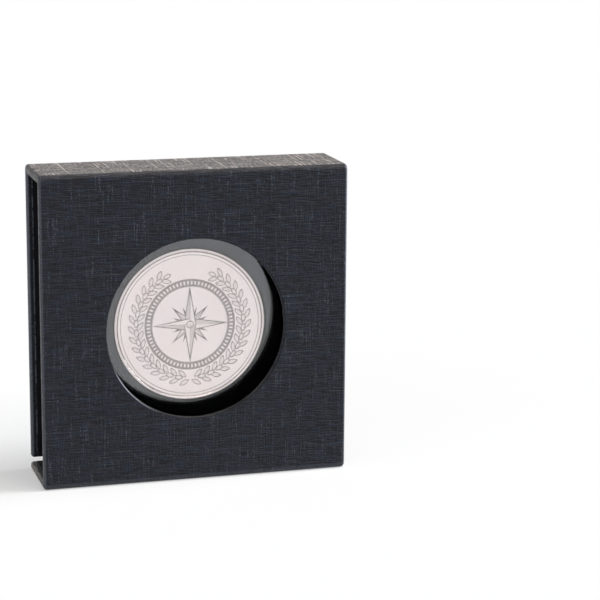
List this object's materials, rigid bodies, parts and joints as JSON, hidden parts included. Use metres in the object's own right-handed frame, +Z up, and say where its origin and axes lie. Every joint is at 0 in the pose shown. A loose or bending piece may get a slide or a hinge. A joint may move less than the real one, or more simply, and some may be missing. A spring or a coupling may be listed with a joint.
{
  "type": "coin display case",
  "caption": "Book-style board case in dark linen-embossed paper with a round window, a magnetic flap and a clear square coin capsule in its tray.",
  "frame": {"origin": "middle of the underside of the shut case, on the surface that it stands on", "axes": "+Z up, window facing -Y, +X to the right as seen from the front"},
  "size_m": [0.07, 0.0186, 0.071],
  "materials": {
    "linen_paper": "linen-embossed, satin",
    "lining_paper": "satin",
    "greyboard": "matte",
    "foam": "matte",
    "clear_plastic": "gloss",
    "ring_foam": "satin",
    "coin_silver": "satin",
    "nickel": "satin",
    "steel": "satin"
  },
  "bodies": {
    "base": {"back_board": "greyboard", "cover_paper_back": "linen_paper", "lining_back": "lining_paper", "tray_shell": "greyboard", "tray_wrap": "linen_paper", "foam_insert": "foam", "tray_plate_left": "steel", "tray_plate_right": "steel"},
    "spine": {"spine_board": "greyboard", "cover_paper_spine": "linen_paper", "lining_spine": "lining_paper"},
    "front": {"front_board": "greyboard", "cover_paper_front": "linen_paper", "lining_front": "lining_paper"},
    "flap": {"flap_board": "greyboard", "cover_paper_flap": "linen_paper", "lining_flap": "lining_paper", "flap_magnet_left": "nickel", "flap_magnet_right": "nickel"},
    "capsule": {"capsule_base": "clear_plastic", "capsule_ring": "ring_foam", "coin": "coin_silver"},
    "lid": {"capsule_lid": "clear_plastic"}
  },
  "joints": [
    {"name": "spine_fold", "type": "hinge", "parent": "base", "child": "spine", "pos_m": [0, 0.0089, 0.07065], "axis": [-1, 0, 0], "range_deg": [0, 90]},
    {"name": "front_fold", "type": "hinge", "parent": "spine", "child": "front", "pos_m": [0, -0.0089, 0.07065], "axis": [-1, 0, 0], "range_deg": [0, 90]},
    {"name": "flap_fold", "type": "hinge", "parent": "front", "child": "flap", "pos_m": [0, -0.0089, 0.00035], "axis": [-1, 0, 0], "range_deg": [0, 180]},
    {"name": "capsule_lift", "type": "slide", "parent": "base", "child": "capsule", "axis": [0, -1, 0], "range_m": [0, 0.0016]},
    {"name": "capsule_lid_lift", "type": "slide", "parent": "capsule", "child": "lid", "axis": [0, -1, 0], "range_m": [0, 0.0016]}
  ],
  "couplings": [
    {"joint": "front_fold", "follows": "spine_fold", "ratio": 1}
  ]
}
